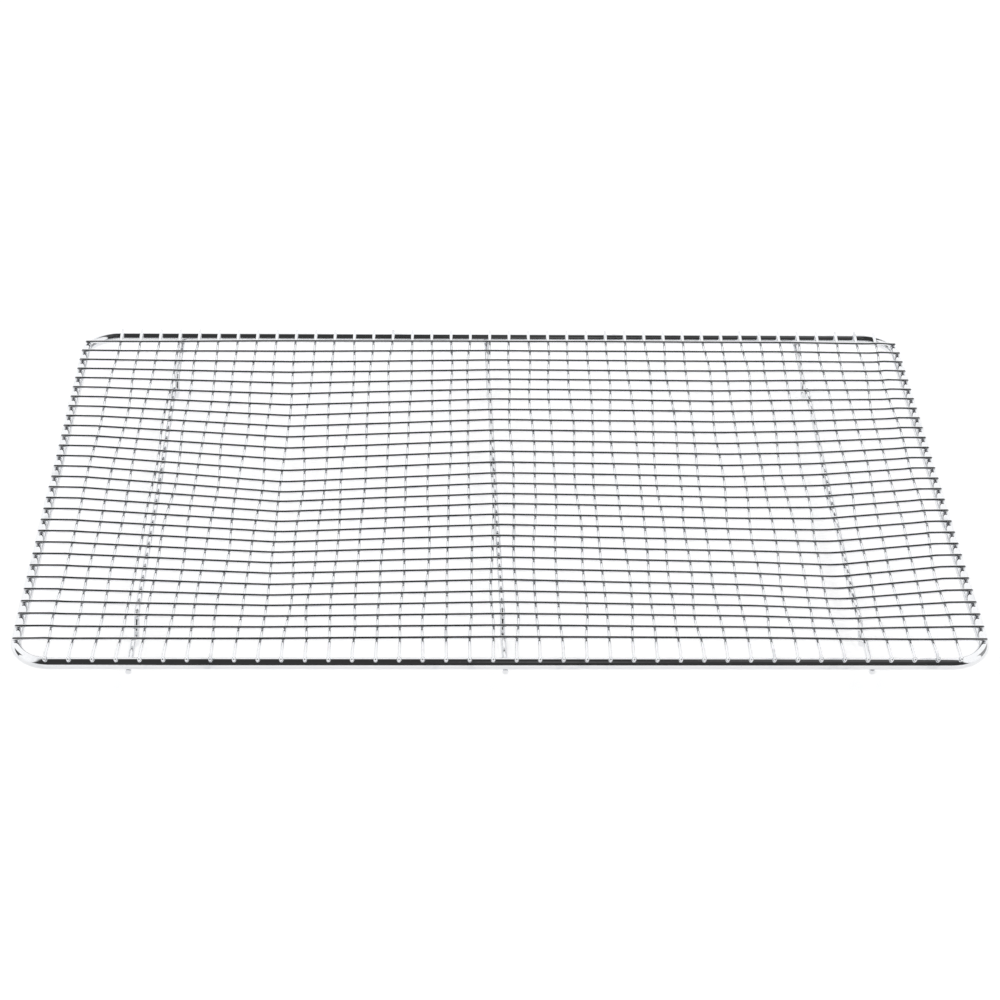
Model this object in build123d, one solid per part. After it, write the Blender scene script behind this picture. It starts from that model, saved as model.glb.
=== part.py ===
from build123d import *
from dataclasses import dataclass
from math import cos, floor, hypot, radians, sqrt, tan
import os

# Footed cooling rack for a full-size sheet pan, welded from round steel wire.
# X runs left to right, Y front to back, Z up. The origin lies on the table, under the middle
# of the frame, so the feet stand at Z = 0. All lengths are in millimetres.

# Frame: one heavy rod bent into a rounded rectangle
FRAME_LENGTH = 622.3
FRAME_WIDTH = 429.5
FRAME_ROD_DIAMETER = 7.5
FRAME_BEND_RADIUS = 24.0

# Mesh: thin long wires laid on top of thin cross wires. Each pattern starts at one side of the
# frame and takes as many wires as fit before the other side. Insets are between wire axes.
# The cross wires are welded on slightly askew: CROSS_WIRE_SKEW is how much further right each
# one crosses the back rail than the front rail, and its inset is that of its middle.
MESH_WIRE_DIAMETER = 2.2
CROSS_WIRE_PITCH = 14.75
CROSS_WIRE_SKEW = 4.3
LEFT_CROSS_WIRE_INSET = 23.4
RIGHT_CROSS_WIRE_LEAST_INSET = 12.0
LONG_WIRE_PITCH = 13.8
BACK_LONG_WIRE_INSET = 15.8
FRONT_LONG_WIRE_LEAST_INSET = 15.0
LONG_WIRE_END_BEND = 1.5
LONG_WIRE_END_SHORT_OF_FRAME = 1.2

# Supports: three wires under the mesh, each bent down into a front foot and a back foot
SUPPORT_DIAMETER = 4.0
SUPPORT_END_PAST_FRAME_AXIS = 1.5
FRONT_FOOT_INSET = 44.0
BACK_FOOT_INSET = 61.0
FOOT_DROP = 9.4
FOOT_BEND_RADIUS = 5.0
SHOULDER_BEND_RADIUS = 6.0
LEG_ANGLE = 50.0

# Where each support crosses the front and the back rail, from the side rod's axis beside it
# or, for the centre one, how far right of the middle
LEFT_SUPPORT_FRONT_INSET = 72.8
LEFT_SUPPORT_BACK_INSET = 71.0
CENTRE_SUPPORT_FRONT_SHIFT = 1.9
CENTRE_SUPPORT_BACK_SHIFT = -4.1
RIGHT_SUPPORT_FRONT_INSET = 74.0
RIGHT_SUPPORT_BACK_INSET = 73.8

# Clearance at every weld, where one wire rests on another
WELD_GAP = 0.05
SUPPORT_WELD_GAP = 0.1

# Slack: how deep the mesh hangs below the frame where the slack columns and rows meet.
# Between them it runs straight, and each bend is rounded over SLACK_BEND on both sides.
# The outermost cross wires are the first and last columns, and the outermost long wires the
# first and last rows. The place of each column or row between them is a side of the frame
# (-1 left or front, 0 middle, 1 right or back) and the distance from that side's axis. The
# depths run from left to right in each row, and the rows from front to back. The outermost
# cross wires lie about one wire deeper than the frame, so the long wires run out straight.
SLACK_BEND = 6.0
INNER_SLACK_COLUMNS = ((-1, 157.4), (0, 0.0), (1, -142.4), (1, -82.4))
INNER_SLACK_ROWS = ((-1, 85.8), (0, 12.8), (1, -96.2))
SLACK_DEPTHS = (
    (2.2, 1.6, 0.5, 1.0, 1.8, 2.2),
    (2.4, 7.5, 3.6, 7.4, 10.6, 2.6),
    (2.6, 15.0, 7.0, 9.6, 8.0, 2.6),
    (2.4, 8.4, 3.0, 4.2, 3.2, 2.4),
    (2.2, 0.8, 0.5, 0.8, 0.8, 2.0),
)

# A bend whose corner lies this close to a straight line is left out
STRAIGHTNESS = 0.01
# Most of a straight run that the arc at either end may take up
LARGEST_ARC_SHARE = 0.45


@dataclass(frozen=True)
class Support:
    """One support wire, and where its axis crosses the front rail and the back rail."""

    name: str
    front_x: float
    back_x: float


# Outline of the frame's centreline
frame_radius = FRAME_ROD_DIAMETER / 2
side_axis_x = FRAME_LENGTH / 2 - frame_radius
rail_axis_y = FRAME_WIDTH / 2 - frame_radius

SUPPORTS = (
    Support(
        "support_wire_left",
        front_x=LEFT_SUPPORT_FRONT_INSET - side_axis_x,
        back_x=LEFT_SUPPORT_BACK_INSET - side_axis_x,
    ),
    Support(
        "support_wire_centre",
        front_x=CENTRE_SUPPORT_FRONT_SHIFT,
        back_x=CENTRE_SUPPORT_BACK_SHIFT,
    ),
    Support(
        "support_wire_right",
        front_x=side_axis_x - RIGHT_SUPPORT_FRONT_INSET,
        back_x=side_axis_x - RIGHT_SUPPORT_BACK_INSET,
    ),
)

# Heights of the wire axes, stacked upwards from the table
mesh_radius = MESH_WIRE_DIAMETER / 2
support_radius = SUPPORT_DIAMETER / 2
foot_axis_z = support_radius
support_end_z = foot_axis_z + FOOT_DROP
frame_axis_z = support_end_z + support_radius + WELD_GAP + frame_radius
frame_top_z = frame_axis_z + frame_radius
cross_wire_z = frame_top_z + WELD_GAP + mesh_radius
long_wire_z = cross_wire_z + WELD_GAP + MESH_WIRE_DIAMETER
support_middle_z = cross_wire_z - mesh_radius - SUPPORT_WELD_GAP - support_radius


def pattern(span, first_inset, least_last_inset, pitch):
    """Distances of evenly pitched wires from the side they start at."""
    pitches = floor((span - first_inset - least_last_inset) / pitch)
    return [first_inset + number * pitch for number in range(pitches + 1)]


# Mesh pattern, from left to right and from back to front
cross_wire_xs = [
    inset - side_axis_x
    for inset in pattern(
        2 * side_axis_x, LEFT_CROSS_WIRE_INSET, RIGHT_CROSS_WIRE_LEAST_INSET, CROSS_WIRE_PITCH
    )
]
long_wire_ys = [
    rail_axis_y - inset
    for inset in pattern(
        2 * rail_axis_y, BACK_LONG_WIRE_INSET, FRONT_LONG_WIRE_LEAST_INSET, LONG_WIRE_PITCH
    )
]


def cross_wire_x(middle_x, y):
    """Where the cross wire with its middle at middle_x passes a place between the rails."""
    return middle_x + CROSS_WIRE_SKEW * y / (2 * rail_axis_y)


# Columns and rows of the slack, ending where the mesh leaves the frame level
slack_edge_x = side_axis_x - SLACK_BEND
slack_edge_y = rail_axis_y - SLACK_BEND
columns = [side * side_axis_x + distance for side, distance in INNER_SLACK_COLUMNS]
rows = [side * rail_axis_y + distance for side, distance in INNER_SLACK_ROWS]
slack_xs = (-slack_edge_x, cross_wire_xs[0], *columns, cross_wire_xs[-1], slack_edge_x)
slack_ys = (-slack_edge_y, long_wire_ys[-1], *rows, long_wire_ys[0], slack_edge_y)


def rounded_height(place, nodes, heights):
    """Height at a place on a line through the nodes, level beyond them, with rounded bends."""
    runs = list(zip(nodes, nodes[1:], heights, heights[1:]))
    slopes = [0.0, *((high - low) / (end - start) for start, end, low, high in runs), 0.0]
    height = heights[0] if place < nodes[0] else heights[-1]
    for (start, end, low, _), slope in zip(runs, slopes[1:]):
        if start <= place <= end:
            height = low + slope * (place - start)
    for node, before, after in zip(nodes, slopes, slopes[1:]):
        reach = max(SLACK_BEND - abs(place - node), 0.0)
        height += (after - before) * reach**2 / (4 * SLACK_BEND)
    return height


def slack_across(place, nodes, lines_of_depths):
    """Slack where one line of the mesh crosses the others, from frame to frame."""
    hung = [
        rounded_height(place, nodes, (0.0, *(-depth for depth in depths), 0.0))
        for depths in lines_of_depths
    ]
    return (0.0, *hung, 0.0)


def column_heights(y):
    """Slack at each column, along a line from left to right."""
    return slack_across(y, slack_ys, zip(*SLACK_DEPTHS))


def row_heights(x):
    """Slack at each row, along a line from front to back."""
    return slack_across(x, slack_xs, SLACK_DEPTHS)


def slack(x, y):
    """Height of the mesh at a point, measured from its height at the frame."""
    return rounded_height(x, slack_xs, column_heights(y))


def corner_inset(along, half_span):
    """How far the frame's centreline has turned inwards near a corner."""
    into_corner = max(abs(along) - (half_span - FRAME_BEND_RADIUS), 0.0)
    return FRAME_BEND_RADIUS - sqrt(FRAME_BEND_RADIUS**2 - into_corner**2)


@dataclass(frozen=True)
class Corner:
    """A point that a wire is bent at, and how far the bend reaches to either side."""

    point: Vector
    reach: float = 0.0


def corner(x, y, z, reach=0.0):
    """A corner from its coordinates."""
    return Corner(Vector(x, y, z), reach)


def drop_straight(corners):
    """The corners without those that lie on a straight line already."""
    kept = [corners[0]]
    for here, after in zip(corners[1:], corners[2:]):
        chord = (after.point - kept[-1].point).normalized()
        if (here.point - kept[-1].point).cross(chord).length > STRAIGHTNESS:
            kept.append(here)
    return [*kept, corners[-1]]


def bent_path(corners):
    """Straight runs from corner to corner, with a tangent arc at each bend."""
    corners = drop_straight(corners)
    edges = []
    start = corners[0].point
    for before, here, after in zip(corners, corners[1:], corners[2:]):
        run_in = here.point - before.point
        run_out = after.point - here.point
        shorter_run = min(run_in.length, run_out.length)
        reach = min(here.reach, LARGEST_ARC_SHARE * shorter_run)
        arc_start = here.point - run_in.normalized() * reach
        arc_end = here.point + run_out.normalized() * reach
        edges.append(Line(start, arc_start))
        edges.append(TangentArc(arc_start, arc_end, tangent=run_in))
        start = arc_end
    edges.append(Line(start, corners[-1].point))
    return Wire(edges)


def round_wire(path, diameter):
    """Sweep a round section along a path of straight runs and tangent arcs."""
    start = Plane(path @ 0, z_dir=path % 0)
    return sweep(start * Circle(diameter / 2), path=path)


def make_frame():
    """The closed frame rod, lying level."""
    outline = RectangleRounded(2 * side_axis_x, 2 * rail_axis_y, FRAME_BEND_RADIUS)
    path = Pos(0, 0, frame_axis_z) * outline.face().outer_wire()
    return round_wire(path, FRAME_ROD_DIAMETER)


def long_wire_end(y, side, last_crossing_x):
    """Corners from one end of a long wire to where it leaves its last cross wire."""
    seat_x = side_axis_x - corner_inset(y, rail_axis_y)
    end_x = seat_x + frame_radius - LONG_WIRE_END_SHORT_OF_FRAME
    leave_x = last_crossing_x + side * LONG_WIRE_END_BEND
    leave_z = long_wire_z + slack(leave_x, y)
    if seat_x < abs(leave_x) + MESH_WIRE_DIAMETER:
        return [corner(side * end_x, y, leave_z), corner(leave_x, y, leave_z, LONG_WIRE_END_BEND)]
    return [
        corner(side * end_x, y, cross_wire_z),
        corner(side * seat_x, y, cross_wire_z, LONG_WIRE_END_BEND),
        corner(leave_x, y, leave_z, LONG_WIRE_END_BEND),
    ]


def make_long_wire(y):
    """One long wire: over all cross wires, then down onto the frame at both ends."""
    first_x = cross_wire_x(cross_wire_xs[0], y)
    last_x = cross_wire_x(cross_wire_xs[-1], y)
    middle = [
        corner(x, y, long_wire_z + height, SLACK_BEND)
        for x, height in zip(slack_xs, column_heights(y))
        if first_x + SLACK_BEND < x < last_x - SLACK_BEND
    ]
    left = long_wire_end(y, -1, first_x)
    right = long_wire_end(y, 1, last_x)
    return round_wire(bent_path([*left, *middle, *reversed(right)]), MESH_WIRE_DIAMETER)


def make_cross_wire(middle_x):
    """One cross wire: from the front rail to the back rail, under all long wires."""

    def end(side):
        """The front (-1) or back (1) end, flush with the outside of the frame."""
        seat_inset = corner_inset(cross_wire_x(middle_x, side * rail_axis_y), side_axis_x)
        y = side * (rail_axis_y - seat_inset + frame_radius)
        return corner(cross_wire_x(middle_x, y), y, cross_wire_z)

    middle = []
    for row, y in enumerate(slack_ys):
        x = cross_wire_x(middle_x, y)
        middle.append(corner(x, y, cross_wire_z + row_heights(x)[row], SLACK_BEND))
    return round_wire(bent_path([end(-1), *middle, end(1)]), MESH_WIRE_DIAMETER)


def make_support(support):
    """One support wire: level ends under the rails, two V feet, a middle under the mesh."""
    run_x = support.back_x - support.front_x
    run_y = 2 * rail_axis_y
    span = hypot(run_x, run_y)
    middle_x = (support.front_x + support.back_x) / 2

    def on_wire(along, z, reach=0.0):
        """A corner at a distance along the support, measured from its middle."""
        return corner(middle_x + along * run_x / span, along * run_y / span, z, reach)

    rise = tan(radians(LEG_ANGLE))
    foot_reach = FOOT_BEND_RADIUS * tan(radians(LEG_ANGLE))
    shoulder_reach = SHOULDER_BEND_RADIUS * tan(radians(LEG_ANGLE / 2))
    vee_z = foot_axis_z - FOOT_BEND_RADIUS * (1 / cos(radians(LEG_ANGLE)) - 1)
    end = span / 2 + SUPPORT_END_PAST_FRAME_AXIS

    def half(side, foot_inset):
        """Corners from the end to the shoulder, at the front (-1) or the back (1)."""
        foot = rail_axis_y - foot_inset
        outer_bend = foot + (support_end_z - vee_z) / rise
        level_shoulder = foot - (support_middle_z - vee_z) / rise
        place = on_wire(side * level_shoulder, 0).point
        shoulder_z = support_middle_z + slack(place.X, place.Y)
        shoulder = foot - (shoulder_z - vee_z) / rise
        return [
            on_wire(side * end, support_end_z),
            on_wire(side * outer_bend, support_end_z, shoulder_reach),
            on_wire(side * foot, vee_z, foot_reach),
            on_wire(side * shoulder, shoulder_z, shoulder_reach),
        ]

    front, back = half(-1, FRONT_FOOT_INSET), half(1, BACK_FOOT_INSET)
    margin = SLACK_BEND + shoulder_reach
    middle = []
    for row, y in enumerate(slack_ys):
        if front[-1].point.Y + margin < y < back[-1].point.Y - margin:
            along = y * span / run_y
            x = middle_x + along * run_x / span
            middle.append(on_wire(along, support_middle_z + row_heights(x)[row], SLACK_BEND))
    return round_wire(bent_path([*front, *middle, *reversed(back)]), SUPPORT_DIAMETER)


os.makedirs("parts", exist_ok=True)
export_step(make_frame(), "parts/frame_rod.step")
for number, y in enumerate(long_wire_ys, start=1):
    export_step(make_long_wire(y), f"parts/long_wire_{number:02d}.step")
for pair, start in enumerate(range(0, len(cross_wire_xs), 2), start=1):
    wires = [make_cross_wire(x) for x in cross_wire_xs[start : start + 2]]
    export_step(Compound(children=wires), f"parts/cross_wire_pair_{pair:02d}.step")
for support in SUPPORTS:
    export_step(make_support(support), f"parts/{support.name}.step")
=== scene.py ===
"""Dressed model of a footed wire cooling rack for a full-size sheet pan.

The rack is bright chromed steel: a frame of heavy rod, a mesh of thin wires welded on top of it,
and three support wires under the mesh, whose bends are the feet. Lengths are in metres, in the
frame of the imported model: X along the rack, Y from front to back, Z up from the table.
"""

import logging
import math
from collections.abc import Iterable, Sequence
from dataclasses import dataclass, field
from enum import Enum
from functools import cached_property

import bpy
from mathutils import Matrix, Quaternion, Vector, noise


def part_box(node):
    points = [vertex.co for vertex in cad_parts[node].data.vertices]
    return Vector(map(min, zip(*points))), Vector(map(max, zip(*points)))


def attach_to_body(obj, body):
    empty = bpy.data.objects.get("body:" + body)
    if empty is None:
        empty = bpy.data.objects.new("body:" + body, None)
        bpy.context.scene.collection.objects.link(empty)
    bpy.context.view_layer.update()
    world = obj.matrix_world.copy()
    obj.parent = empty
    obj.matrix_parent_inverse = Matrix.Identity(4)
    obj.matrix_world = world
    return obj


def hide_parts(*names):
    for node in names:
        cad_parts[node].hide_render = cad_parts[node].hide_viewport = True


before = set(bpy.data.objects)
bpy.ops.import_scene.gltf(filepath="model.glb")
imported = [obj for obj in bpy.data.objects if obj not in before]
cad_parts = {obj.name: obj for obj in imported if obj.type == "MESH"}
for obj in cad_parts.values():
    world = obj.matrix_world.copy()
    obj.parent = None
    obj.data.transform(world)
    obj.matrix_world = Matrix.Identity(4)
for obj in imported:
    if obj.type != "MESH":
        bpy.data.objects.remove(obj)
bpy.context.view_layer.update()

MM = 0.001
BODY = "root"
WHITE = (1.0, 1.0, 1.0, 1.0)
STRAIGHT_TURN = 1e-4  # radians: a smaller turn needs no bend
ARC_STEP = math.radians(7)  # between neighbouring points of a bend
LARGEST_BEND_SHARE = 0.45  # of a straight run, for the bend at either of its ends
CLOSEST_POINTS = 0.05 * MM  # along a centreline
log = logging.getLogger("cooling_rack")


class Slot(Enum):
    """The record's material slots."""

    FRAME_ROD = "frame_rod"
    LONG_WIRE = "long_wire"
    CROSS_WIRE = "cross_wire"
    SUPPORT_WIRE = "support_wire"


class Side(Enum):
    """The two ends of an axis: left and front are low, right and back are high."""

    LOW = -1
    HIGH = 1


class WireEnd(Enum):
    """Shape of a cut wire end: how far its rounding reaches back, and how blunt its tip is.

    Both are shares of the wire's radius.
    """

    DOMED = (0.9, 0.12)
    SHEARED = (0.22, 0.80)

    def rings(self, steps: int = 6) -> list[tuple[float, float]]:
        """Rings of the rounding, an ellipse on a flat tip.

        Args:
            steps: How many rings follow the one at the tip.

        Returns:
            Distance from the tip and girth of each ring, in wire radii, from the tip inwards.
        """
        depth, tip = self.value
        turns = [math.pi / 2 * step / steps for step in range(steps + 1)]
        return [(depth * (1 - math.cos(t)), tip + (1 - tip) * math.sin(t)) for t in turns]


def in_metres(*lengths: float) -> tuple[float, ...]:
    """Turn lengths in millimetres into metres."""
    return tuple(length * MM for length in lengths)


def linear(hex_colour: str) -> tuple[float, float, float, float]:
    """Turn an sRGB hex colour into linear light.

    Args:
        hex_colour: Six hex digits, with or without a leading #.

    Returns:
        Red, green, blue and an opaque alpha.
    """
    digits = hex_colour.lstrip("#")
    shares = [int(digits[start : start + 2], 16) / 255 for start in (0, 2, 4)]
    light = [s / 12.92 if s <= 0.04045 else ((s + 0.055) / 1.055) ** 2.4 for s in shares]
    return (*light, 1.0)


def add_node(
    tree: bpy.types.NodeTree, kind: str, inputs: dict | None = None, **settings: object
) -> bpy.types.Node:
    """Add one node with its settings and links.

    Args:
        tree: The tree that gets the node.
        kind: Blender's name for the kind of node.
        inputs: Value or linked output socket for each input, by the input's name or number.
        **settings: Properties of the node itself.

    Returns:
        The new node.
    """
    node = tree.nodes.new(kind)
    for name, value in settings.items():
        setattr(node, name, value)
    for key, value in (inputs or {}).items():
        if isinstance(value, bpy.types.NodeSocket):
            tree.links.new(value, node.inputs[key])
        else:
            node.inputs[key].default_value = value
    return node


@dataclass(frozen=True)
class ChromePlate:
    """Bright chrome plate over nickel on cold-drawn steel.

    The drawn wire is smooth and the plate is levelled, so it is a clean mirror. What the eye
    still finds is a slow ripple along the wire, faint drawing lines, thin grey bloom where
    the plate is older, and specks where the bath left it rough.
    """

    name: str
    bright: str = "#E4E5E7"
    bloomed: str = "#C9CBCF"
    roughness: float = 0.045
    bloom_roughness: float = 0.16
    bloom_size: float = 22 * MM
    bloom_detail: float = 3.0
    bloom_harshness: float = 0.6
    bloom_range: tuple[float, float] = (0.52, 0.80)
    speck_size: float = 0.9 * MM
    speck_detail: float = 2.0
    speck_range: tuple[float, float] = (0.60, 0.78)
    speck_dullness: float = 0.6
    plain_detail: float = 1.0
    plain_harshness: float = 0.5
    ripple_size: float = 3.2 * MM
    ripple_height: float = 0.012 * MM
    draw_line_spacing: float = 0.35 * MM
    draw_line_height: float = 0.0015 * MM

    def material(self) -> bpy.types.Material:
        """Build the material.

        Returns:
            The finished material, which reads only object coordinates.
        """
        material = bpy.data.materials.new(self.name)
        material.use_nodes = True
        tree = material.node_tree
        tree.nodes.clear()
        place = add_node(tree, "ShaderNodeTexCoord").outputs["Object"]
        bloom, specks, ripple, lines = (
            add_node(
                tree,
                "ShaderNodeTexNoise",
                {"Vector": place, "Scale": 1 / size, "Detail": detail, "Roughness": harshness},
            ).outputs["Fac"]
            for size, detail, harshness in (
                (self.bloom_size, self.bloom_detail, self.bloom_harshness),
                (self.speck_size, self.speck_detail, self.plain_harshness),
                (self.ripple_size, self.plain_detail, self.plain_harshness),
                (self.draw_line_spacing, self.plain_detail, self.plain_harshness),
            )
        )
        dullness = [
            add_node(
                tree,
                "ShaderNodeMapRange",
                {"Value": pattern, "From Min": first, "From Max": last, "To Max": dullest},
                interpolation_type="SMOOTHSTEP",
            ).outputs["Result"]
            for pattern, (first, last), dullest in (
                (bloom, self.bloom_range, 1.0),
                (specks, self.speck_range, self.speck_dullness),
            )
        ]
        dull = add_node(
            tree, "ShaderNodeMath", dict(enumerate(dullness)), operation="MAXIMUM"
        ).outputs[0]
        colour = add_node(
            tree,
            "ShaderNodeMix",
            {"Factor": dull, 6: linear(self.bright), 7: linear(self.bloomed)},
            data_type="RGBA",
        )
        roughness = add_node(
            tree,
            "ShaderNodeMapRange",
            {"Value": dull, "To Min": self.roughness, "To Max": self.bloom_roughness},
        ).outputs["Result"]
        relief: dict[str, bpy.types.NodeSocket] = {}
        for height, distance in ((ripple, self.ripple_height), (lines, self.draw_line_height)):
            bump = add_node(
                tree,
                "ShaderNodeBump",
                {"Height": height, "Distance": distance, "Strength": 1.0, **relief},
            )
            relief = {"Normal": bump.outputs["Normal"]}
        shader = add_node(
            tree,
            "ShaderNodeBsdfPrincipled",
            {
                "Base Color": colour.outputs[2],
                "Roughness": roughness,
                "Metallic": 1.0,
                **relief,
            },
        ).outputs["BSDF"]
        add_node(tree, "ShaderNodeOutputMaterial", {"Surface": shader})
        return material


@dataclass(frozen=True)
class WeldPlate(ChromePlate):
    """Chrome plate over a weld, greyer and less smooth where the metal was squeezed out."""

    bright: str = "#C4C5C8"
    roughness: float = 0.14
    bloom_roughness: float = 0.3


@dataclass(frozen=True)
class Corner:
    """A point that a wire is bent at, and how far the bend reaches to either side."""

    point: Vector
    reach: float = 0.0


def arc_points(start: Vector, run_in: Vector, run_out: Vector, reach: float) -> list[Vector]:
    """Points along the round bend between two straight runs.

    Args:
        start: Where the bend starts.
        run_in: Unit direction before the bend.
        run_out: Unit direction after it.
        reach: Distance from the start to the corner of the two runs.

    Returns:
        Points about 7 degrees apart, from the start to the end of the bend.
    """
    turn = run_in.angle(run_out)
    if turn < STRAIGHT_TURN or reach <= 0:
        return [start]
    radius = reach / math.tan(turn / 2)
    inwards = (run_out - run_in * math.cos(turn)).normalized()
    steps = max(2, math.ceil(turn / ARC_STEP))
    return [
        start
        + run_in * (radius * math.sin(turn * step / steps))
        + inwards * (radius * (1 - math.cos(turn * step / steps)))
        for step in range(steps + 1)
    ]


def bent_centreline(
    corners: Sequence[Corner], spacing: float, closed: bool = False
) -> list[Vector]:
    """Centreline of a bent wire: straight runs joined by round bends.

    Args:
        corners: The wire's corners in order.
        spacing: Largest distance between points on a straight run.
        closed: Whether the last corner joins the first.

    Returns:
        Points along the wire.
    """
    count = len(corners)
    stretches = []
    for index, here in enumerate(corners):
        if not closed and index in (0, count - 1):
            stretches.append([here.point])
            continue
        to_here = here.point - corners[index - 1].point
        to_next = corners[(index + 1) % count].point - here.point
        room = LARGEST_BEND_SHARE * min(to_here.length, to_next.length)
        reach = min(here.reach, room)
        start = here.point - to_here.normalized() * reach
        stretches.append(arc_points(start, to_here.normalized(), to_next.normalized(), reach))
    points = []
    for index, stretch in enumerate(stretches):
        points.extend(stretch)
        if index == count - 1 and not closed:
            break
        start = stretch[-1]
        end = stretches[(index + 1) % count][0]
        steps = max(1, math.ceil((end - start).length / spacing))
        points.extend(start.lerp(end, step / steps) for step in range(1, steps))
    kept = [points[0]]
    for point in points[1:]:
        if (point - kept[-1]).length > CLOSEST_POINTS:
            kept.append(point)
    return kept


@dataclass(frozen=True)
class Centreline:
    """Path of one wire, with the girth at each point as a share of the full radius."""

    points: list[Vector]
    girths: list[float]
    closed: bool = False

    @classmethod
    def ring(cls, points: list[Vector]) -> "Centreline":
        """A closed wire of full girth."""
        return cls(points, [1.0] * len(points), closed=True)

    @classmethod
    def cut(cls, points: list[Vector], radius: float, end: WireEnd) -> "Centreline":
        """An open wire whose two ends have the given shape.

        Args:
            points: Path from tip to tip.
            radius: Radius of the wire.
            end: Shape of both ends.

        Returns:
            The path with rings added near its tips.
        """
        rings = end.rings()
        inner = rings[-1][0] * radius
        head, tail = points[0], points[-1]
        body = [p for p in points if min((p - head).length, (p - tail).length) > inner]
        into_head = (points[1] - head).normalized()
        into_tail = (points[-2] - tail).normalized()
        head_rings = [head + into_head * (radius * depth) for depth, _ in rings]
        tail_rings = [tail + into_tail * (radius * depth) for depth, _ in reversed(rings)]
        girths = [girth for _, girth in rings]
        return cls(
            [*head_rings, *body, *tail_rings], [*girths, *[1.0] * len(body), *reversed(girths)]
        )


def growing_tree(
    name: str, seed: str, inputs: dict[str, str], result: str
) -> bpy.types.NodeTree:
    """Start a Geometry Nodes tree with its sockets.

    Args:
        name: Name of the tree.
        seed: Name of the geometry that it grows from.
        inputs: Kind of each further input, by its name; a finish comes after them.
        result: Name of the geometry that it gives out.

    Returns:
        The tree, with no nodes in it yet.
    """
    tree = bpy.data.node_groups.new(name, "GeometryNodeTree")
    tree.interface.new_socket(seed, in_out="INPUT", socket_type="NodeSocketGeometry")
    for given, kind in {**inputs, "Finish": "Material"}.items():
        tree.interface.new_socket(given, in_out="INPUT", socket_type=f"NodeSocket{kind}")
    tree.interface.new_socket(result, in_out="OUTPUT", socket_type="NodeSocketGeometry")
    return tree


def give_out(
    tree: bpy.types.NodeTree,
    shape: bpy.types.NodeSocket,
    finish: bpy.types.NodeSocket,
    result: str,
) -> None:
    """End a Geometry Nodes tree: make its shape real and smooth, and give it its finish.

    Args:
        tree: The tree that made the shape.
        shape: The shape.
        finish: The tree's own input for the material.
        result: Name of the tree's output.
    """
    real = add_node(tree, "GeometryNodeRealizeInstances", {"Geometry": shape})
    smooth = add_node(tree, "GeometryNodeSetShadeSmooth", {"Geometry": real.outputs["Geometry"]})
    dressed = add_node(
        tree,
        "GeometryNodeSetMaterial",
        {"Geometry": smooth.outputs["Geometry"], "Material": finish},
    )
    add_node(tree, "NodeGroupOutput", {result: dressed.outputs["Geometry"]})


class DrawnWire:
    """Geometry Nodes tree that draws round wire along centrelines."""

    def __init__(self) -> None:
        """Build the tree once; every wire piece uses it."""
        tree = growing_tree(
            "drawn_wire", "Centrelines", {"Wire radius": "Float", "Sides": "Int"}, "Wire"
        )
        given = add_node(tree, "NodeGroupInput").outputs
        curve = add_node(tree, "GeometryNodeMeshToCurve", {"Mesh": given["Centrelines"]})
        section = add_node(
            tree,
            "GeometryNodeCurvePrimitiveCircle",
            {"Resolution": given["Sides"], "Radius": given["Wire radius"]},
        )
        girth = add_node(
            tree, "GeometryNodeInputNamedAttribute", {"Name": "girth"}, data_type="FLOAT"
        )
        skin = add_node(
            tree,
            "GeometryNodeCurveToMesh",
            {
                "Curve": curve.outputs["Curve"],
                "Profile Curve": section.outputs["Curve"],
                "Scale": girth.outputs["Attribute"],
                "Fill Caps": True,
            },
        )
        give_out(tree, skin.outputs["Mesh"], given["Finish"], "Wire")
        self.tree = tree

    def piece(
        self,
        name: str,
        centrelines: Iterable[Centreline],
        radius: float,
        sides: int,
        finish: bpy.types.Material,
    ) -> bpy.types.Object:
        """Draw the wires of one piece.

        Args:
            name: Name of the piece.
            centrelines: Path of each wire in it.
            radius: Radius of the wire.
            sides: Faces around the wire.
            finish: Material of the wire.

        Returns:
            The piece, as a plain mesh.
        """
        vertices: list[Vector] = []
        edges: list[tuple[int, int]] = []
        girths: list[float] = []
        for line in centrelines:
            first, count = len(vertices), len(line.points)
            vertices.extend(line.points)
            girths.extend(line.girths)
            edges.extend((first + step, first + step + 1) for step in range(count - 1))
            if line.closed:
                edges.append((first + count - 1, first))
        paths = bpy.data.meshes.new(name)
        paths.from_pydata(vertices, edges, [])
        paths.attributes.new("girth", "FLOAT", "POINT").data.foreach_set("value", girths)
        settings = {"Wire radius": radius, "Sides": sides, "Finish": finish}
        return grown(name, paths, self.tree, settings)


@dataclass(frozen=True)
class Bead:
    """Sizes of one group of beads, whose flatness and sizes are shares of the radius."""

    radius: float
    flatness: float
    least_size: float
    most_size: float
    seed: int


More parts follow.
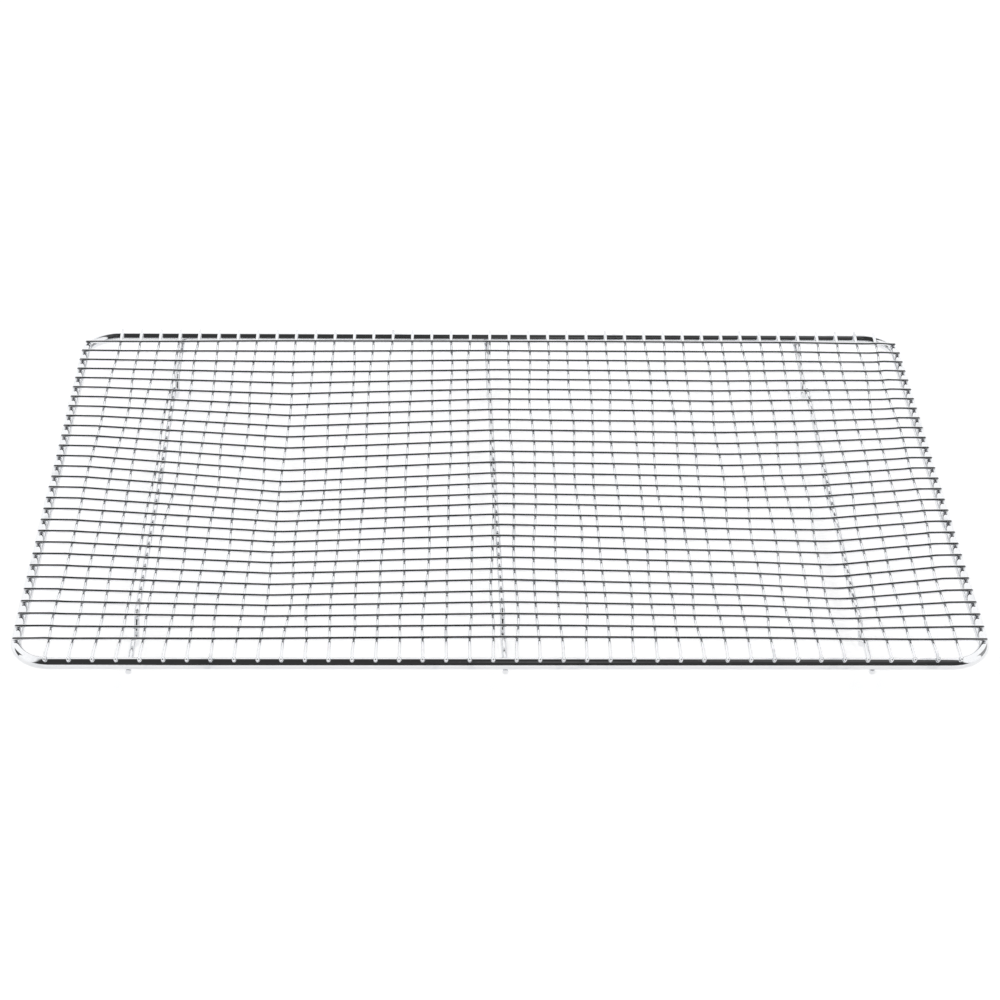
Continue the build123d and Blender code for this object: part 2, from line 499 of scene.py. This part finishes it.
class WeldBeads:
    """Geometry Nodes tree that sets a small squashed bead at every weld."""

    segments: int = 8
    rings: int = 6
    most_lean: float = 0.12

    def __init__(self) -> None:
        """Build the tree once; every group of welds uses it."""
        sizes = ("Bead radius", "Bead flatness", "Least size", "Most size")
        tree = growing_tree(
            "weld_beads", "Welds", {**dict.fromkeys(sizes, "Float"), "Seed": "Int"}, "Beads"
        )
        given = add_node(tree, "NodeGroupInput").outputs
        ball = add_node(
            tree,
            "GeometryNodeMeshUVSphere",
            {"Segments": self.segments, "Rings": self.rings, "Radius": given["Bead radius"]},
        )
        squash = add_node(
            tree, "ShaderNodeCombineXYZ", {"X": 1.0, "Y": 1.0, "Z": given["Bead flatness"]}
        )
        lens = add_node(
            tree,
            "GeometryNodeTransform",
            {"Geometry": ball.outputs["Mesh"], "Scale": squash.outputs["Vector"]},
        )
        size = add_node(
            tree,
            "FunctionNodeRandomValue",
            {2: given["Least size"], 3: given["Most size"], "Seed": given["Seed"]},
            data_type="FLOAT",
        )
        turn = add_node(
            tree,
            "FunctionNodeRandomValue",
            {
                0: (-self.most_lean, -self.most_lean, 0.0),
                1: (self.most_lean, self.most_lean, math.tau),
                "Seed": given["Seed"],
            },
            data_type="FLOAT_VECTOR",
        )
        beads = add_node(
            tree,
            "GeometryNodeInstanceOnPoints",
            {
                "Points": given["Welds"],
                "Instance": lens.outputs["Geometry"],
                "Rotation": turn.outputs[0],
                "Scale": size.outputs[1],
            },
        )
        give_out(tree, beads.outputs["Instances"], given["Finish"], "Beads")
        self.tree = tree

    def piece(
        self, name: str, welds: Sequence[Vector], finish: bpy.types.Material, bead: Bead
    ) -> bpy.types.Object:
        """Set one group of beads.

        Args:
            name: Name of the piece.
            welds: Middle of each weld.
            finish: Material of the beads.
            bead: Their sizes.

        Returns:
            The beads, as a plain mesh.
        """
        places = bpy.data.meshes.new(name)
        places.from_pydata(welds, [], [])
        settings = {
            "Bead radius": bead.radius,
            "Bead flatness": bead.flatness,
            "Least size": bead.least_size,
            "Most size": bead.most_size,
            "Seed": bead.seed,
            "Finish": finish,
        }
        return grown(name, places, self.tree, settings)


def grown(
    name: str, seed_mesh: bpy.types.Mesh, tree: bpy.types.NodeTree, settings: dict[str, object]
) -> bpy.types.Object:
    """Grow a plain mesh from a seed mesh with a Geometry Nodes tree.

    Args:
        name: Name of the new object.
        seed_mesh: Mesh that the tree works on.
        tree: The Geometry Nodes tree.
        settings: Value of each input, by its name.

    Returns:
        The object with the result as its own mesh and no modifier.
    """
    piece = bpy.data.objects.new(name, seed_mesh)
    bpy.context.scene.collection.objects.link(piece)
    modifier = piece.modifiers.new(tree.name, "NODES")
    modifier.node_group = tree
    for item in tree.interface.items_tree:
        if item.in_out == "INPUT" and item.name in settings:
            modifier[item.identifier] = settings[item.name]
    depsgraph = bpy.context.evaluated_depsgraph_get()
    made = bpy.data.meshes.new_from_object(piece.evaluated_get(depsgraph))
    piece.modifiers.remove(modifier)
    piece.data = made
    made.name = name
    bpy.data.meshes.remove(seed_mesh)
    return piece


def attach(piece: bpy.types.Object, slot: Slot, *nodes: str) -> None:
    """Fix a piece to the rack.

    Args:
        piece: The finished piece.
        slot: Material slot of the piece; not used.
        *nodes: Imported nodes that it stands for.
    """
    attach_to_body(piece, BODY)
    if nodes:
        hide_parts(*nodes)
    log.info("%s: %d faces", piece.name, len(piece.data.polygons))


def rounded_height(
    place: float, nodes: Sequence[float], heights: Sequence[float], bend: float
) -> float:
    """Height on a line through some nodes, level beyond them, with its bends rounded.

    Args:
        place: Where the height is wanted.
        nodes: Places of the nodes, in order.
        heights: Height at each node.
        bend: How far each rounding reaches to either side.

    Returns:
        The height at that place.
    """
    slopes = [0.0]
    for start, end, low, high in zip(nodes, nodes[1:], heights, heights[1:]):
        slopes.append((high - low) / (end - start))
    slopes.append(0.0)
    height = heights[0] if place < nodes[0] else heights[-1]
    for start, end, low, slope in zip(nodes, nodes[1:], heights, slopes[1:]):
        if start <= place <= end:
            height = low + slope * (place - start)
    for node, before, after in zip(nodes, slopes, slopes[1:]):
        reach = max(bend - abs(place - node), 0.0)
        height += (after - before) * reach**2 / (4 * bend)
    return height


@dataclass
class RackLayout:
    """Where the wires run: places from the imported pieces, and the stack of wires on them.

    The slack has a depth at each node of a grid, row by row from the front. Its inner columns and
    rows are given by a side of the frame, or its middle, and the distance from there.
    """

    mesh_radius: float = 1.1 * MM
    support_radius: float = 2.0 * MM
    frame_radius: float = 3.75 * MM
    frame_bend_radius: float = 24 * MM
    cross_wire_skew: float = 4.3 * MM
    slack_bend: float = 6 * MM
    inner_slack_columns: tuple[tuple[int, float], ...] = (
        (-1, 157.4 * MM),
        (0, 0.0),
        (1, -142.4 * MM),
        (1, -82.4 * MM),
    )
    inner_slack_rows: tuple[tuple[int, float], ...] = (
        (-1, 85.8 * MM),
        (0, 12.8 * MM),
        (1, -96.2 * MM),
    )
    slack_depths: tuple[tuple[float, ...], ...] = (
        in_metres(2.2, 1.6, 0.5, 1.0, 1.8, 2.2),
        in_metres(2.4, 7.5, 3.6, 7.4, 10.6, 2.6),
        in_metres(2.6, 15.0, 7.0, 9.6, 8.0, 2.6),
        in_metres(2.4, 8.4, 3.0, 4.2, 3.2, 2.4),
        in_metres(2.2, 0.8, 0.5, 0.8, 0.8, 2.0),
    )
    frame_node: str = "frame_rod"
    long_nodes: list[str] = field(
        default_factory=lambda: sorted(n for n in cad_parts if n.startswith("long_wire"))
    )
    cross_nodes: list[str] = field(
        default_factory=lambda: sorted(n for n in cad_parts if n.startswith("cross_wire"))
    )

    @cached_property
    def side_axis_x(self) -> float:
        """Distance of each side rod's axis from the middle."""
        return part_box(self.frame_node)[1][0] - self.frame_radius

    @cached_property
    def rail_axis_y(self) -> float:
        """Distance of the front and back rail's axis from the middle."""
        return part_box(self.frame_node)[1][1] - self.frame_radius

    @cached_property
    def frame_axis_z(self) -> float:
        """Height of the frame rod's axis."""
        return sum(corner[2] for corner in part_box(self.frame_node)) / 2

    @cached_property
    def long_wire_z(self) -> float:
        """Height of the long wires' axes where the mesh is level with the frame."""
        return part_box(self.long_nodes[0])[1][2] - self.mesh_radius

    @cached_property
    def cross_wire_z(self) -> float:
        """Height of the cross wires' axes where the mesh is level with the frame."""
        return self.frame_axis_z + self.frame_radius + self.mesh_radius

    @cached_property
    def long_wire_ys(self) -> list[float]:
        """Place of each long wire, from back to front."""
        return [sum(corner[1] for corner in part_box(node)) / 2 for node in self.long_nodes]

    @cached_property
    def cross_wire_xs(self) -> list[float]:
        """Place of each cross wire's middle, from left to right.

        Returns:
            The places, two from the box of each pair, which is wider by the wires' lean.
        """
        places = []
        for node in self.cross_nodes:
            low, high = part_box(node)
            lean = self.cross_wire_skew * (high[1] - low[1]) / (4 * self.rail_axis_y)
            inset = self.mesh_radius + lean
            places.extend((low[0] + inset, high[0] - inset))
        return places

    def cross_wire_x(self, middle_x: float, y: float) -> float:
        """Where the cross wire with its middle at middle_x passes a place between the rails."""
        return middle_x + self.cross_wire_skew * y / (2 * self.rail_axis_y)

    @cached_property
    def slack_grid(self) -> tuple[list[float], list[float], list[tuple[float, ...]]]:
        """Grid of the slack, out to the frame.

        Returns:
            Place of each column and of each row, and the heights down each column of wires.
        """
        edge_x = self.side_axis_x - self.slack_bend
        edge_y = self.rail_axis_y - self.slack_bend
        columns = [side * self.side_axis_x + away for side, away in self.inner_slack_columns]
        rows = [side * self.rail_axis_y + away for side, away in self.inner_slack_rows]
        cross_xs, long_ys = self.cross_wire_xs, self.long_wire_ys
        heights = [(0.0, *(-depth for depth in depths), 0.0) for depths in zip(*self.slack_depths)]
        return (
            [-edge_x, cross_xs[0], *columns, cross_xs[-1], edge_x],
            [-edge_y, long_ys[-1], *rows, long_ys[0], edge_y],
            heights,
        )

    def slack(self, x: float, y: float) -> float:
        """Height of the slack mesh at a point.

        Args:
            x: Place along the rack.
            y: Place from front to back.

        Returns:
            The height, measured from the mesh's height at the frame.
        """
        columns, rows, heights = self.slack_grid
        hung = [rounded_height(y, rows, column, self.slack_bend) for column in heights]
        return rounded_height(x, columns, (0.0, *hung, 0.0), self.slack_bend)

    def corner_inset(self, along: float, half_span: float) -> float:
        """How far the frame's centreline has turned inwards near a corner.

        Args:
            along: Place along one side of the frame.
            half_span: Half the distance between the two sides at its ends.

        Returns:
            The inset of the centreline there.
        """
        into_corner = max(abs(along) - (half_span - self.frame_bend_radius), 0.0)
        return self.frame_bend_radius - math.sqrt(self.frame_bend_radius**2 - into_corner**2)


@dataclass
class FrameRod:
    """The heavy rod, bent into a rounded rectangle."""

    layout: RackLayout
    sides: int = 40
    spacing: float = 6 * MM

    def build(self, wire: DrawnWire) -> None:
        """Draw the rod and dress it.

        Args:
            wire: Draws the rod.
        """
        x, y, z = self.layout.side_axis_x, self.layout.rail_axis_y, self.layout.frame_axis_z
        reach = self.layout.frame_bend_radius
        corners = [
            Corner(Vector((along * x, across * y, z)), reach)
            for along, across in ((-1, -1), (1, -1), (1, 1), (-1, 1))
        ]
        line = Centreline.ring(bent_centreline(corners, self.spacing, closed=True))
        finish = ChromePlate("chrome_plate_frame_rod").material()
        piece = wire.piece(
            "dressed_frame_rod", [line], self.layout.frame_radius, self.sides, finish
        )
        attach(piece, Slot.FRAME_ROD, self.layout.frame_node)


@dataclass(frozen=True)
class Wander:
    """How far the wires of one layer stray sideways, over what length, and by which noise."""

    size: float
    length: float
    noise_row: float
    wire_step: float = 5.17
    noise_depth: float = 0.5


@dataclass
class Mesh:
    """The two layers of thin wire, each wire a little out of true, and their welds."""

    layout: RackLayout
    sides: int = 16
    spacing: float = 4 * MM
    end_bend: float = 1.5 * MM
    long_end_short_of_frame: float = 1.2 * MM
    still_margin: float = 6 * MM
    free_margin: float = 45 * MM
    long_wander: Wander = Wander(0.5 * MM, 90 * MM, 3.7)
    cross_wander: Wander = Wander(3.4 * MM, 75 * MM, 91.3)
    pad_past_axis: float = 0.9 * MM
    pad_rise: float = 0.2 * MM
    crossing_bead: Bead = Bead(0.75 * MM, 0.3, 0.75, 1.1, 11)
    frame_bead: Bead = Bead(1.0 * MM, 0.3, 0.8, 1.1, 23)
    pad: Bead = Bead(1.55 * MM, 0.6, 0.92, 1.04, 37)

    def sideways(self, stray: Wander, along: float, half_span: float, number: int) -> float:
        """How far a wire strays sideways from its straight line.

        Args:
            stray: The wander of the wire's layer.
            along: Place along the wire.
            half_span: Half the wire's length.
            number: Number of the wire in its layer.

        Returns:
            The sideways distance there, nothing near the frame.
        """
        free = min(max((half_span - abs(along) - self.still_margin) / self.free_margin, 0.0), 1.0)
        ease = free * free * (3 - 2 * free)
        row = stray.noise_row + stray.wire_step * number
        place = Vector((along / stray.length, row, stray.noise_depth))
        return stray.size * ease * noise.noise(place)

    def long_end(self, y: float, side: Side, last_x: float) -> list[Corner]:
        """One end of a long wire, down from its last cross wire and out onto the side rod.

        Args:
            y: Place of the long wire.
            side: Which end.
            last_x: Where it crosses the last cross wire on that side.

        Returns:
            Corners from the tip inwards.
        """
        layout = self.layout
        seat_x = layout.side_axis_x - layout.corner_inset(y, layout.rail_axis_y)
        end_x = seat_x + layout.frame_radius - self.long_end_short_of_frame
        leave_x = last_x + side.value * self.end_bend
        leave_z = layout.long_wire_z + layout.slack(leave_x, y)
        if seat_x < abs(leave_x) + 2 * layout.mesh_radius:
            return [
                Corner(Vector((side.value * end_x, y, leave_z))),
                Corner(Vector((leave_x, y, leave_z)), self.end_bend),
            ]
        return [
            Corner(Vector((side.value * end_x, y, layout.cross_wire_z))),
            Corner(Vector((side.value * seat_x, y, layout.cross_wire_z)), self.end_bend),
            Corner(Vector((leave_x, y, leave_z)), self.end_bend),
        ]

    def long_centreline(self, number: int, y: float, cross_xs: Sequence[float]) -> Centreline:
        """Path of one long wire, over all cross wires and down onto the frame.

        Args:
            number: Number of the wire, from the back.
            y: Place of the wire.
            cross_xs: Places of the cross wires' middles.

        Returns:
            The path, with domed tips.
        """
        layout = self.layout
        left = self.long_end(y, Side.LOW, layout.cross_wire_x(cross_xs[0], y))
        right = self.long_end(y, Side.HIGH, layout.cross_wire_x(cross_xs[-1], y))
        start, end = left[-1].point.x, right[-1].point.x
        steps = math.ceil((end - start) / self.spacing)
        middle = []
        for step in range(1, steps):
            x = start + (end - start) * step / steps
            middle.append(Corner(Vector((x, y, layout.long_wire_z + layout.slack(x, y)))))
        points = bent_centreline([*left, *middle, *reversed(right)], 2 * self.spacing)
        for point in points:
            point.y += self.sideways(self.long_wander, point.x, layout.side_axis_x, number)
        return Centreline.cut(points, layout.mesh_radius, WireEnd.DOMED)

    def rail_seat(self, middle_x: float, side: Side) -> tuple[float, float]:
        """Where a cross wire lies on the front or back rail, from above."""
        layout = self.layout
        x = layout.cross_wire_x(middle_x, side.value * layout.rail_axis_y)
        return x, side.value * (layout.rail_axis_y - layout.corner_inset(x, layout.side_axis_x))

    def strayed_x(self, number: int, middle_x: float, y: float) -> float:
        """Where a cross wire passes a place between the rails, out of true as it is."""
        stray = self.sideways(self.cross_wander, y, self.layout.rail_axis_y, number)
        return self.layout.cross_wire_x(middle_x, y) + stray

    def cross_centreline(self, number: int, middle_x: float) -> Centreline:
        """Path of one cross wire, from the front rail to the back rail.

        Args:
            number: Number of the wire, from the left.
            middle_x: Place of its middle.

        Returns:
            The path, with domed tips.
        """
        layout = self.layout
        front_y = self.rail_seat(middle_x, Side.LOW)[1] - layout.frame_radius
        back_y = self.rail_seat(middle_x, Side.HIGH)[1] + layout.frame_radius
        steps = math.ceil((back_y - front_y) / self.spacing)
        points = []
        for step in range(steps + 1):
            y = front_y + (back_y - front_y) * step / steps
            height = layout.slack(layout.cross_wire_x(middle_x, y), y)
            x = self.strayed_x(number, middle_x, y)
            points.append(Vector((x, y, layout.cross_wire_z + height)))
        return Centreline.cut(points, layout.mesh_radius, WireEnd.DOMED)

    def build(self, wire: DrawnWire, beads: WeldBeads) -> None:
        """Draw both layers and their welds, and dress them.

        Args:
            wire: Draws the wires.
            beads: Sets the welds.
        """
        layout = self.layout
        cross_xs, long_ys = layout.cross_wire_xs, layout.long_wire_ys
        long_finish = ChromePlate("chrome_plate_long_wire").material()
        cross_finish = ChromePlate("chrome_plate_cross_wire").material()
        weld_finish = WeldPlate("chrome_plate_weld").material()
        for number, (node, y) in enumerate(zip(layout.long_nodes, long_ys)):
            line = self.long_centreline(number, y, cross_xs)
            piece = wire.piece(
                f"dressed_{node}", [line], layout.mesh_radius, self.sides, long_finish
            )
            attach(piece, Slot.LONG_WIRE, node)
        for pair, node in enumerate(layout.cross_nodes):
            lines = [
                self.cross_centreline(number, cross_xs[number])
                for number in (2 * pair, 2 * pair + 1)
            ]
            piece = wire.piece(
                f"dressed_{node}", lines, layout.mesh_radius, self.sides, cross_finish
            )
            attach(piece, Slot.CROSS_WIRE, node)
        crossings = self.mesh_welds(cross_xs, long_ys)
        seats = self.frame_welds(cross_xs, long_ys)
        pads = self.squashed_ends(cross_xs)
        for name, places, finish, bead, slot in (
            ("mesh_weld_beads", crossings, weld_finish, self.crossing_bead, Slot.CROSS_WIRE),
            ("frame_weld_beads", seats, weld_finish, self.frame_bead, Slot.FRAME_ROD),
            ("squashed_wire_ends", pads, cross_finish, self.pad, Slot.CROSS_WIRE),
        ):
            attach(beads.piece(name, places, finish, bead), slot)

    def squashed_ends(self, cross_xs: Sequence[float]) -> list[Vector]:
        """Middle of the pad that the welding electrode left on each front end.

        Args:
            cross_xs: Places of the cross wires' middles.

        Returns:
            The places of the pads.
        """
        seats = [self.rail_seat(middle_x, Side.LOW) for middle_x in cross_xs]
        pad_z = self.layout.cross_wire_z + self.pad_rise
        return [Vector((x, y - self.pad_past_axis, pad_z)) for x, y in seats]

    def mesh_welds(self, cross_xs: Sequence[float], long_ys: Sequence[float]) -> list[Vector]:
        """Middle of the weld at every crossing of the two layers.

        Args:
            cross_xs: Places of the cross wires' middles.
            long_ys: Places of the long wires.

        Returns:
            The places of the welds.
        """
        layout = self.layout
        contact_z = (layout.cross_wire_z + layout.long_wire_z) / 2
        welds = []
        for row, y in enumerate(long_ys):
            for column, middle_x in enumerate(cross_xs):
                x = self.strayed_x(column, middle_x, y)
                strayed_y = y + self.sideways(self.long_wander, x, layout.side_axis_x, row)
                height = layout.slack(layout.cross_wire_x(middle_x, y), y)
                welds.append(Vector((x, strayed_y, contact_z + height)))
        return welds

    def frame_welds(self, cross_xs: Sequence[float], long_ys: Sequence[float]) -> list[Vector]:
        """Middle of the weld under every wire end on the frame.

        Args:
            cross_xs: Places of the cross wires' middles.
            long_ys: Places of the long wires.

        Returns:
            The places of the welds.
        """
        layout = self.layout
        top_z = layout.frame_axis_z + layout.frame_radius
        seats = []
        for y in long_ys:
            seat_x = layout.side_axis_x - layout.corner_inset(y, layout.rail_axis_y)
            seats.extend(Vector((side.value * seat_x, y, top_z)) for side in Side)
        for middle_x in cross_xs:
            seats.extend(Vector((*self.rail_seat(middle_x, side), top_z)) for side in Side)
        return seats


@dataclass
class SupportWire:
    """One support: level ends under the rails, two V feet, and a middle under the mesh.

    Its lean is how much further right it crosses the back rail than the front rail.
    """

    layout: RackLayout
    node: str
    lean: float
    end_past_axis: float = 1.5 * MM
    front_foot_inset: float = 44 * MM
    back_foot_inset: float = 61 * MM
    foot_drop: float = 9.4 * MM
    foot_bend: float = 5 * MM
    shoulder_bend: float = 6 * MM
    leg_angle: float = math.radians(50)
    weld_gap: float = 0.1 * MM
    sides: int = 24
    spacing: float = 4 * MM

    @cached_property
    def middle(self) -> Vector:
        """The point of the table under the middle of the support."""
        low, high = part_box(self.node)
        return Vector(((low[0] + high[0]) / 2, 0, 0))

    @cached_property
    def run(self) -> Vector:
        """The way from over the front rail to over the back rail."""
        return Vector((self.lean, 2 * self.layout.rail_axis_y, 0))

    def welds(self) -> list[Vector]:
        """Middle of the two welds under the rails."""
        height = self.layout.frame_axis_z - self.layout.frame_radius
        to_rail = self.run / 2
        return [
            self.middle + side.value * to_rail + Vector((0, 0, height)) for side in Side
        ]

    @cached_property
    def end_z(self) -> float:
        """Height of the axis at the level ends."""
        return self.layout.support_radius + self.foot_drop

    @cached_property
    def level_z(self) -> float:
        """Height of the axis under the mesh, where that is level with the frame."""
        layout = self.layout
        return layout.cross_wire_z - layout.mesh_radius - self.weld_gap - layout.support_radius

    @cached_property
    def vee_z(self) -> float:
        """Height at which the axes of a foot's two legs would meet."""
        return self.layout.support_radius - self.foot_bend * (1 / math.cos(self.leg_angle) - 1)

    def corner(self, along: float, height: float, reach: float = 0.0) -> Corner:
        """A corner at a distance along the support from its middle."""
        point = self.middle + self.run.normalized() * along
        return Corner(Vector((point.x, point.y, height)), reach)

    def foot(self, side: Side, inset: float) -> list[Corner]:
        """One end of the support with its foot.

        Args:
            side: Front or back.
            inset: Distance of the foot from the rail's axis.

        Returns:
            Corners from the tip to the shoulder behind the foot.
        """
        layout = self.layout
        rise = math.tan(self.leg_angle)
        vee_reach = self.foot_bend * math.tan(self.leg_angle)
        shoulder_reach = self.shoulder_bend * math.tan(self.leg_angle / 2)
        vee = layout.rail_axis_y - inset
        outer_bend = vee + (self.end_z - self.vee_z) / rise
        level_shoulder = vee - (self.level_z - self.vee_z) / rise
        place = self.middle + self.run.normalized() * (side.value * level_shoulder)
        shoulder_z = self.level_z + layout.slack(place.x, place.y)
        shoulder = vee - (shoulder_z - self.vee_z) / rise
        tip = self.run.length / 2 + self.end_past_axis
        return [
            self.corner(side.value * tip, self.end_z),
            self.corner(side.value * outer_bend, self.end_z, shoulder_reach),
            self.corner(side.value * vee, self.vee_z, vee_reach),
            self.corner(side.value * shoulder, shoulder_z, shoulder_reach),
        ]

    def build(self, wire: DrawnWire, finish: bpy.types.Material) -> None:
        """Draw the support and dress it.

        Args:
            wire: Draws the support.
            finish: Its material.
        """
        layout, run, middle = self.layout, self.run, self.middle
        inner = []
        for side, away in layout.inner_slack_rows:
            y = side * layout.rail_axis_y + away
            along = y * run.length / run.y
            x = (middle + run.normalized() * along).x
            height = self.level_z + layout.slack(x, y)
            inner.append(self.corner(along, height, layout.slack_bend))
        front = self.foot(Side.LOW, self.front_foot_inset)
        back = self.foot(Side.HIGH, self.back_foot_inset)
        corners = [*front, *inner, *reversed(back)]
        points = bent_centreline(corners, self.spacing)
        line = Centreline.cut(points, layout.support_radius, WireEnd.SHEARED)
        piece = wire.piece(
            f"dressed_{self.node}", [line], layout.support_radius, self.sides, finish
        )
        attach(piece, Slot.SUPPORT_WIRE, self.node)


@dataclass
class Supports:
    """The three support wires and their welds under the rails."""

    layout: RackLayout
    leans: tuple[tuple[str, float], ...] = (
        ("support_wire_left", -1.8 * MM),
        ("support_wire_centre", -6.0 * MM),
        ("support_wire_right", 0.2 * MM),
    )
    bead: Bead = Bead(2.3 * MM, 0.4, 0.85, 1.1, 5)

    def build(self, wire: DrawnWire, beads: WeldBeads) -> None:
        """Draw the supports and their welds, and dress them.

        Args:
            wire: Draws the supports.
            beads: Sets the welds.
        """
        finish = ChromePlate("chrome_plate_support_wire").material()
        weld_finish = WeldPlate("chrome_plate_support_weld", bloom_roughness=0.16).material()
        welds = []
        for node, lean in self.leans:
            support = SupportWire(self.layout, node, lean)
            support.build(wire, finish)
            welds.extend(support.welds())
        piece = beads.piece("support_weld_beads", welds, weld_finish, self.bead)
        attach(piece, Slot.SUPPORT_WIRE)


@dataclass(frozen=True)
class Panel:
    """A light, dull or dark part of the room, as a patch of directions seen from the rack.

    The angle goes from 0 at the horizon in front through 90 straight up to 180 at the horizon
    behind, and across is the sideways part of the direction, from -1 at left to 1 at right.
    The slant is how much further right the patch lies for each degree of angle.
    """

    light: float
    from_angle: float
    to_angle: float
    from_across: float
    to_across: float
    edge_angle: float = 5.0
    edge_across: float = 0.05
    slant: float = 0.0


@dataclass
class Studio:
    """White table, a white room behind, a dark room in front and above, and the camera."""

    table_half: float = 12.0
    table_colour: str = "#F4F4F4"
    table_roughness: float = 0.9
    table_glow: float = 0.50
    dark: float = 0.045
    panels: tuple[Panel, ...] = (
        # the ceiling, a little lighter right of the middle
        Panel(0.10, 67, 125, 0.10, 0.33),
        Panel(0.20, 60, 72, 0.015, 0.08),
        # a low light at the front left
        Panel(1.20, -20, 8, -1.5, -0.12),
        # the white walls behind, at the right and at the left
        Panel(1.22, 131, 200, -1.5, 1.5, edge_angle=11),
        Panel(1.22, -20, 200, 0.84, 3.0, edge_across=0.11, slant=-0.00526),
        Panel(1.22, -20, 200, -3.0, -0.84, edge_across=0.11, slant=0.00526),
        # the dull upper corners between them
        Panel(0.08, 100, 140, -1.5, -0.75, edge_angle=8),
        Panel(0.38, 105, 165, 0.70, 1.5, edge_angle=8),
    )
    camera_place: tuple[float, float, float] = (-39.96 * MM, -1515.23 * MM, 968.87 * MM)
    camera_target: tuple[float, float, float] = (1.86 * MM, -25.47 * MM, 20.95 * MM)
    camera_roll: float = math.radians(0.979)
    lens: float = 92.355
    sight: float = 50.0

    def floor(self) -> None:
        """Lay the pale table."""
        half = self.table_half
        mesh = bpy.data.meshes.new("table_top")
        corners = [(-half, -half, 0), (half, -half, 0), (half, half, 0), (-half, half, 0)]
        mesh.from_pydata(corners, [], [(0, 1, 2, 3)])
        table = bpy.data.objects.new("table_top", mesh)
        bpy.context.scene.collection.objects.link(table)
        material = bpy.data.materials.new("white_table")
        material.use_nodes = True
        shader = material.node_tree.nodes["Principled BSDF"]
        for name, value in (
            ("Base Color", linear(self.table_colour)),
            ("Roughness", self.table_roughness),
            ("Specular IOR Level", 0.0),
            ("Emission Color", WHITE),
            ("Emission Strength", self.table_glow),
        ):
            shader.inputs[name].default_value = value
        mesh.materials.append(material)

    def room(self) -> None:
        """Light the rack from a room that is white behind and dark in front and above.

        Each panel is laid over the ones before it. The room is white below the horizon, and the
        backdrop is plain white, whatever the plate reflects.
        """
        world = bpy.data.worlds.new("studio")
        bpy.context.scene.world = world
        world.use_nodes = True
        tree = world.node_tree
        tree.nodes.clear()

        split = add_node(
            tree,
            "ShaderNodeSeparateXYZ",
            {"Vector": add_node(tree, "ShaderNodeTexCoord").outputs["Generated"]},
        ).outputs
        forwards = add_node(tree, "ShaderNodeMath", {0: split["Y"], 1: -1.0}, operation="MULTIPLY")
        radians = add_node(
            tree, "ShaderNodeMath", {0: split["Z"], 1: forwards.outputs[0]}, operation="ARCTAN2"
        )
        angle = add_node(
            tree,
            "ShaderNodeMath",
            {0: radians.outputs[0], 1: math.degrees(1)},
            operation="MULTIPLY",
        ).outputs[0]
        light: float | bpy.types.NodeSocket = self.dark
        for panel in self.panels:
            upright = add_node(
                tree,
                "ShaderNodeMath",
                {0: angle, 1: -panel.slant, 2: split["X"]},
                operation="MULTIPLY_ADD",
            ).outputs[0]
            share: float | bpy.types.NodeSocket = 1.0
            for place, value, half_edge in (
                (panel.from_angle, angle, panel.edge_angle / 2),
                (panel.to_angle, angle, -panel.edge_angle / 2),
                (panel.from_across, upright, panel.edge_across / 2),
                (panel.to_across, upright, -panel.edge_across / 2),
            ):
                share = add_node(
                    tree,
                    "ShaderNodeMapRange",
                    {
                        "Value": value,
                        "From Min": place - half_edge,
                        "From Max": place + half_edge,
                        "To Max": share,
                    },
                    interpolation_type="SMOOTHSTEP",
                ).outputs["Result"]
            light = add_node(
                tree, "ShaderNodeMix", {0: share, 2: light, 3: panel.light}, data_type="FLOAT"
            ).outputs[0]
        below = add_node(
            tree, "ShaderNodeMath", {0: split["Z"], 1: 0.0}, operation="LESS_THAN"
        ).outputs[0]
        seen = add_node(tree, "ShaderNodeLightPath").outputs["Is Camera Ray"]
        for white in (below, seen):
            light = add_node(
                tree, "ShaderNodeMath", {0: light, 1: white}, operation="MAXIMUM"
            ).outputs[0]
        background = add_node(
            tree, "ShaderNodeBackground", {"Color": WHITE, "Strength": light}
        ).outputs["Background"]
        add_node(tree, "ShaderNodeOutputWorld", {"Surface": background})

    def camera(self) -> None:
        """Stand the camera in front of the rack, looking down at it."""
        data = bpy.data.cameras.new("camera")
        data.lens = self.lens
        data.clip_end = self.sight
        camera = bpy.data.objects.new("camera", data)
        bpy.context.scene.collection.objects.link(camera)
        place, target = Vector(self.camera_place), Vector(self.camera_target)
        aim = (target - place).to_track_quat("-Z", "Y")
        camera.location = place
        camera.rotation_mode = "QUATERNION"
        camera.rotation_quaternion = aim @ Quaternion((0, 0, 1), self.camera_roll)
        bpy.context.scene.camera = camera

    def build(self) -> None:
        """Set up the table, the room and the camera."""
        self.floor()
        self.room()
        self.camera()
        bpy.context.scene.view_settings.view_transform = "Standard"


def main() -> None:
    """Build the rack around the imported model, in order, and light it."""
    logging.basicConfig(level=logging.INFO, format="%(message)s")
    layout = RackLayout()
    wire, beads = DrawnWire(), WeldBeads()
    FrameRod(layout).build(wire)
    Mesh(layout).build(wire, beads)
    Supports(layout).build(wire, beads)
    Studio().build()


if __name__ == "__main__":
    main()
